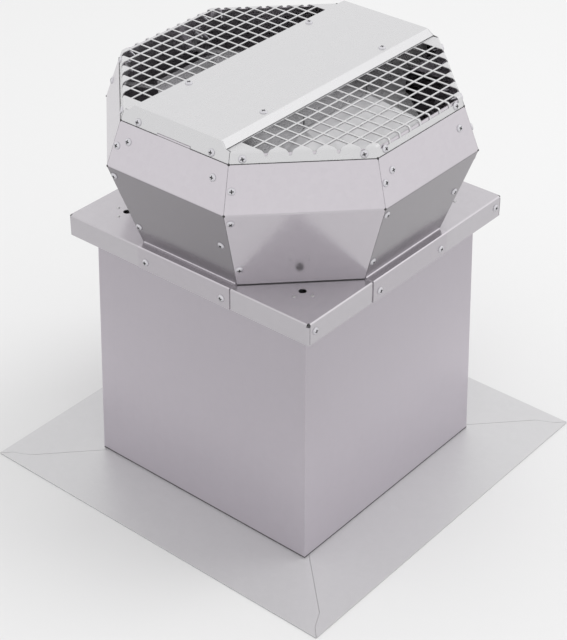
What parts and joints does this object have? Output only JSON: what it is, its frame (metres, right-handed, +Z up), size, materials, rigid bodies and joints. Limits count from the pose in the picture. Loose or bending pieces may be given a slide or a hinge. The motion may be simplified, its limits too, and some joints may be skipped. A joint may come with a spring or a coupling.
{
  "type": "roof exhaust fan",
  "caption": "Vertical-discharge roof fan: octagonal galvanised casing with punched grilles and a spinning impeller, on a tapered square roof curb with a flange.",
  "frame": {"origin": "middle of the curb's foot, on the roof under the flange", "axes": "+Z up along the fan's axis, -Y to the front panel, +X to the right grille"},
  "size_m": [0.6236, 0.6236, 0.6366],
  "materials": {
    "curb_galvanised": "galvanised, semi-gloss",
    "base_galvanised": "galvanised, semi-gloss",
    "casing_galvanised": "galvanised, semi-gloss",
    "grille_galvanised": "galvanised, semi-gloss",
    "cover_galvanised": "galvanised, semi-gloss",
    "bridge_galvanised": "galvanised, semi-gloss",
    "guard_galvanised": "galvanised, semi-gloss",
    "cone_galvanised": "galvanised, semi-gloss",
    "impeller_galvanised": "galvanised, semi-gloss",
    "zinc_screw": "zinc plated",
    "zinc_bolt": "zinc plated",
    "seal_foam": "matte foam",
    "rotor_black": "satin black",
    "stator_grey": "cast, matte",
    "shaft_steel": "ground",
    "terminal_plastic": "matte",
    "gland_plastic": "matte"
  },
  "bodies": {
    "housing": {"base_plate": "base_galvanised", "bearing_lower": "shaft_steel", "bearing_upper": "shaft_steel", "bridge_screws": "zinc_screw", "cable_gland": "gland_plastic", "casing_panel_back": "casing_galvanised", "casing_panel_back_left": "casing_galvanised", "casing_panel_back_right": "casing_galvanised", "casing_panel_front": "casing_galvanised", "casing_panel_front_left": "casing_galvanised", "casing_panel_front_right": "casing_galvanised", "casing_panel_left": "casing_galvanised", "casing_panel_right": "casing_galvanised", "corner_screws": "zinc_screw", "cover_end_screws": "zinc_screw", "cover_screws": "zinc_screw", "curb_seal": "seal_foam", "curb_wall_back": "curb_galvanised", "curb_wall_front": "curb_galvanised", "curb_wall_left": "curb_galvanised", "curb_wall_right": "curb_galvanised", "flap_screws": "zinc_screw", "grille_left": "grille_galvanised", "grille_right": "grille_galvanised", "grille_screws": "zinc_screw", "guard_screws": "zinc_screw", "inlet_cone": "cone_galvanised", "motor_bolts": "zinc_bolt", "motor_bridge": "bridge_galvanised", "motor_stator": "stator_grey", "panel_screws": "zinc_screw", "rain_guard_left": "guard_galvanised", "rain_guard_right": "guard_galvanised", "terminal_box": "terminal_plastic", "terminal_lid": "terminal_plastic", "top_cover": "cover_galvanised"},
    "rotor": {"impeller": "impeller_galvanised", "impeller_bolts": "zinc_bolt", "motor_shaft": "shaft_steel", "rotor_bell": "rotor_black"}
  },
  "joints": [
    {"name": "impeller_spin", "type": "hinge", "parent": "housing", "child": "rotor", "pos_m": [0, 0, 0.486], "axis": [0, 0, 1], "continuous": true}
  ]
}
